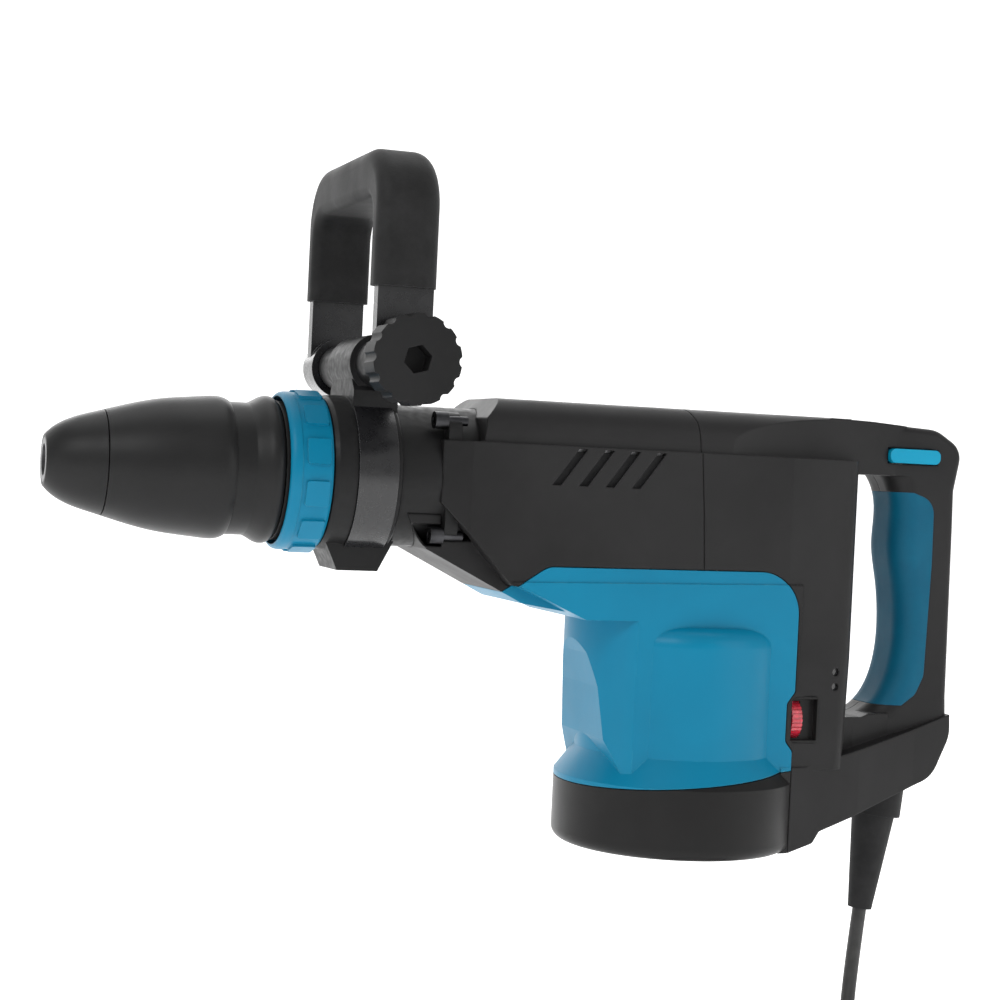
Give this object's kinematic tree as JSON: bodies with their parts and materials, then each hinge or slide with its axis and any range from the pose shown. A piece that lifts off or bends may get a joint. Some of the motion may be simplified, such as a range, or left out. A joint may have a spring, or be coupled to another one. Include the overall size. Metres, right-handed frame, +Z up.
{
  "type": "demolition hammer",
  "caption": "Corded demolition hammer with a round bit socket, U-shaped side grip clamped to the barrel, hanging motor housing and D-shaped rear handle.",
  "frame": {"origin": "centre of the bit socket's mouth, on the barrel's axis", "axes": "+X back along the barrel to the rear handle, +Z up, -Y the operator's left side"},
  "size_m": [0.5736, 0.19, 0.572],
  "materials": {
    "dark_casting": "satin black coat on a light alloy casting",
    "black_plastic": "fine moulded texture",
    "blue_plastic": "satin moulded",
    "blue_rubber": "soft touch",
    "black_rubber": "matt",
    "steel": "machined",
    "black_painted_steel": "gloss black paint",
    "aluminium": "cast and machined",
    "copper": "enamelled copper",
    "carbon": "pressed carbon",
    "potting": "potted board",
    "red_plastic": "translucent moulded",
    "lamp_lens": "dark clear lens"
  },
  "bodies": {
    "housing": {"barrel": "dark_casting", "housing_bolts": "steel", "cylinder": "steel", "damper_ring": "black_rubber", "crank_case": "aluminium", "crank_bearings": "steel", "armature_bearings": "steel", "stator_core": "steel", "stator_windings": "copper", "brush_holders": "black_plastic", "brushes": "carbon", "front_housing": "black_plastic", "vent_screen": "black_plastic", "motor_housing": "blue_plastic", "base_cap": "black_plastic", "base_screws": "steel", "rear_shell_left": "black_plastic", "rear_shell_right": "black_plastic", "handle_screws": "steel", "handle_grip": "blue_rubber", "switch_body": "black_plastic", "control_board": "potting", "dial_bezel": "black_plastic", "indicator_lamps": "lamp_lens", "cord_guard": "black_rubber", "cord": "black_rubber", "cord_tail": "black_rubber", "cord_coil": "black_rubber", "cord_tie": "black_rubber", "plug_body": "black_rubber", "plug_pins": "steel"},
    "tool_holder": {"tool_holder": "steel", "front_cap": "black_rubber", "guide_sleeve": "black_plastic", "cover_spring": "steel"},
    "chuck_cover": {"chuck_cover": "black_plastic"},
    "change_ring": {"change_ring": "blue_plastic"},
    "roller_top": {"roller_top": "steel"},
    "roller_bottom": {"roller_bottom": "steel"},
    "impact_bolt": {"impact_bolt": "steel"},
    "striker": {"striker": "steel", "striker_seal": "black_rubber"},
    "piston": {"piston": "aluminium", "piston_seal": "black_rubber", "wrist_pin": "steel"},
    "con_rod": {"con_rod": "steel"},
    "crank": {"crankshaft": "steel", "crank_gear": "steel"},
    "armature": {"armature_shaft": "steel", "armature_core": "steel", "commutator": "copper", "fan": "black_plastic"},
    "grip_clamp": {"grip_base": "dark_casting", "clamp_band": "black_painted_steel", "clamp_bolt": "steel"},
    "side_grip": {"grip_bar": "black_painted_steel", "grip_rubber": "black_rubber"},
    "clamp_knob": {"clamp_knob": "black_plastic"},
    "switch_lever": {"switch_lever": "blue_plastic"},
    "speed_dial": {"speed_dial": "red_plastic"}
  },
  "joints": [
    {"name": "tool_holder_turn", "type": "hinge", "parent": "housing", "child": "tool_holder", "pos_m": [0.1, 0, 0], "axis": [1, 0, 0], "continuous": true},
    {"name": "cover_slide", "type": "slide", "parent": "tool_holder", "child": "chuck_cover", "axis": [1, 0, 0], "range_m": [0, 0.012], "stiffness_N_per_m": 1500, "springref_m": -0.01, "deforming": ["cover_spring"]},
    {"name": "ring_slide", "type": "slide", "parent": "tool_holder", "child": "change_ring", "axis": [-1, 0, 0], "range_m": [0, 0.005]},
    {"name": "roller_top_slide", "type": "slide", "parent": "tool_holder", "child": "roller_top", "axis": [0, 0, 1], "range_m": [0, 0.0045]},
    {"name": "roller_bottom_slide", "type": "slide", "parent": "tool_holder", "child": "roller_bottom", "axis": [0, 0, -1], "range_m": [0, 0.0045]},
    {"name": "impact_bolt_slide", "type": "slide", "parent": "tool_holder", "child": "impact_bolt", "axis": [-1, 0, 0], "range_m": [0, 0.004]},
    {"name": "striker_slide", "type": "slide", "parent": "housing", "child": "striker", "axis": [-1, 0, 0], "range_m": [0, 0.018]},
    {"name": "piston_slide", "type": "slide", "parent": "housing", "child": "piston", "axis": [1, 0, 0], "range_m": [0, 0.024]},
    {"name": "con_rod_swing", "type": "hinge", "parent": "piston", "child": "con_rod", "pos_m": [0.258, 0, 0], "axis": [0, 0, 1], "range_deg": [-8.6, 8.6]},
    {"name": "armature_turn", "type": "hinge", "parent": "housing", "child": "armature", "pos_m": [0.391, 0, -0.1], "axis": [0, 0, 1], "continuous": true},
    {"name": "crank_turn", "type": "hinge", "parent": "housing", "child": "crank", "pos_m": [0.351, 0, -0.03], "axis": [0, 0, 1], "continuous": true},
    {"name": "grip_swing", "type": "hinge", "parent": "housing", "child": "grip_clamp", "pos_m": [0.182, 0, 0], "axis": [1, 0, 0], "range_deg": [-180, 180]},
    {"name": "grip_tilt", "type": "hinge", "parent": "grip_clamp", "child": "side_grip", "pos_m": [0.183, 0, 0.0635], "axis": [0, 1, 0], "range_deg": [-75, 60]},
    {"name": "knob_turn", "type": "hinge", "parent": "grip_clamp", "child": "clamp_knob", "pos_m": [0.183, -0.09, 0.0635], "axis": [0, -1, 0], "range_deg": [0, 720]},
    {"name": "lever_slide", "type": "slide", "parent": "housing", "child": "switch_lever", "axis": [0, 1, 0], "range_m": [0, 0.005]},
    {"name": "dial_turn", "type": "hinge", "parent": "housing", "child": "speed_dial", "pos_m": [0.451, -0.0336, -0.1375], "axis": [1, 0, 0], "range_deg": [-135, 135]}
  ],
  "couplings": [
    {"joint": "crank_turn", "follows": "armature_turn", "ratio": -0.17647},
    {"joint": "roller_top_slide", "follows": "cover_slide", "ratio": 0.35},
    {"joint": "roller_bottom_slide", "follows": "cover_slide", "ratio": 0.35}
  ]
}
